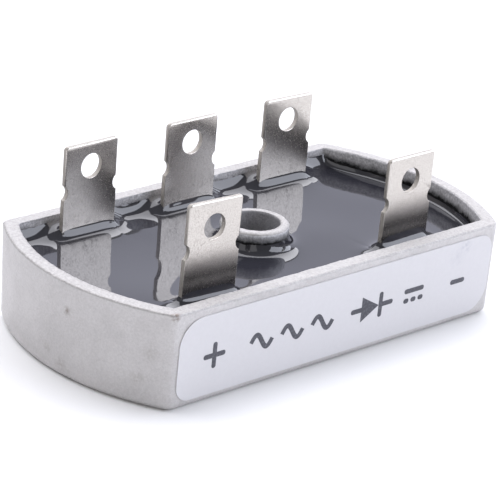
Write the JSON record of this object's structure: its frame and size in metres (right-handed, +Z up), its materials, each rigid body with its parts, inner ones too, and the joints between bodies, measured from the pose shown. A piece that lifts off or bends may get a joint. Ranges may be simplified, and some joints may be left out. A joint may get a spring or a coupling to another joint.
{
  "type": "bridge rectifier",
  "caption": "Potted three-phase bridge rectifier: cast aluminium case with bulged ends, central screw tube, glossy dark potting and upright blade terminals.",
  "frame": {"origin": "centre of the case's flat base, on the axis of the screw hole", "axes": "+X along the case's length, +Y from the label side to the side with three blades, +Z up along the screw hole"},
  "size_m": [0.0486, 0.0255, 0.0173],
  "materials": {
    "case_metal": "cast, fine blasted grain, dull silver",
    "potting": "poured epoxy, glossy near-black",
    "label_paper": "smooth pale label stock, matte",
    "blade_metal": "plated strip, satin nickel grey, sheared edges",
    "ceramic": "white fired ceramic",
    "copper": "bare copper",
    "chip": "dark grey silicon",
    "solder": "dull solder"
  },
  "bodies": {
    "root": {"case": "case_metal", "potting_compound": "potting", "label": "label_paper", "positive_terminal": "blade_metal", "negative_terminal": "blade_metal", "ac_terminal_left": "blade_metal", "ac_terminal_middle": "blade_metal", "ac_terminal_right": "blade_metal", "insulating_plate": "ceramic", "negative_bus_bar": "copper", "positive_bus_bar": "copper", "lower_chip_left": "chip", "lower_chip_middle": "chip", "lower_chip_right": "chip", "upper_chip_left": "chip", "upper_chip_middle": "chip", "upper_chip_right": "chip", "negative_bar_solder": "solder", "lower_chip_solder": "solder", "upper_chip_solder": "solder", "positive_bar_solder": "solder", "negative_terminal_solder": "solder", "positive_terminal_solder": "solder"}
  },
  "joints": []
}
